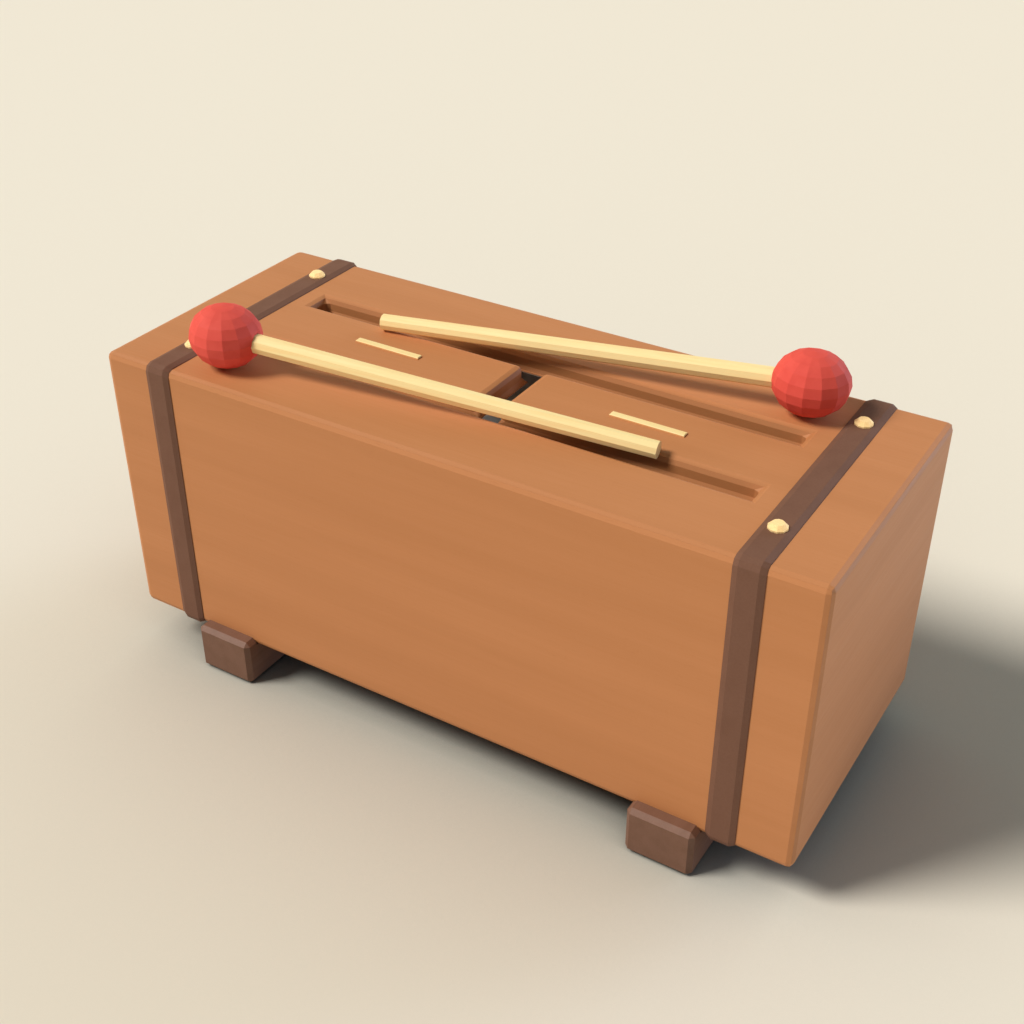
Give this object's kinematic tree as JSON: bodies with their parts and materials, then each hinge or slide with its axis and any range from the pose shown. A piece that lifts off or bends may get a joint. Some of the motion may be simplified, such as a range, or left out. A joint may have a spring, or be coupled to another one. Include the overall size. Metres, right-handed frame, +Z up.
{
  "type": "log drum",
  "caption": "Box-shaped wooden log drum whose top is slotted into tongues, with leather straps, raised feet and a pair of mallets laid on top.",
  "frame": {"origin": "on the floor, at the middle of the two feet", "axes": "+Z up, +X along the drum towards its right end, the player sits at -Y"},
  "size_m": [0.3, 0.132, 0.1629],
  "materials": {
    "drum_wood": "satin",
    "foot_wood": "matte",
    "pale_wood": "satin",
    "strap_leather": "matte",
    "tack_brass": "satin",
    "screw_steel": "satin",
    "head_rubber": "satin"
  },
  "bodies": {
    "drum": {"top_board": "drum_wood", "bottom_board": "drum_wood", "front_board": "drum_wood", "back_board": "drum_wood", "left_end_board": "drum_wood", "right_end_board": "drum_wood", "left_inlay": "pale_wood", "right_inlay": "pale_wood", "left_strap": "strap_leather", "right_strap": "strap_leather", "left_front_tack": "tack_brass", "left_back_tack": "tack_brass", "right_front_tack": "tack_brass", "right_back_tack": "tack_brass", "left_front_lower_tack": "tack_brass", "left_back_lower_tack": "tack_brass", "right_front_lower_tack": "tack_brass", "right_back_lower_tack": "tack_brass", "left_foot": "foot_wood", "right_foot": "foot_wood", "left_front_foot_screw": "screw_steel", "left_back_foot_screw": "screw_steel", "right_front_foot_screw": "screw_steel", "right_back_foot_screw": "screw_steel"},
    "front_mallet": {"front_mallet_stick": "pale_wood", "front_mallet_head": "head_rubber"},
    "back_mallet": {"back_mallet_stick": "pale_wood", "back_mallet_head": "head_rubber"}
  },
  "joints": [
    {"name": "front_mallet_lift", "type": "slide", "parent": "drum", "child": "front_mallet", "axis": [0, 0, 1], "range_m": [0, 0.16]},
    {"name": "back_mallet_lift", "type": "slide", "parent": "drum", "child": "back_mallet", "axis": [0, 0, 1], "range_m": [0, 0.16]}
  ]
}
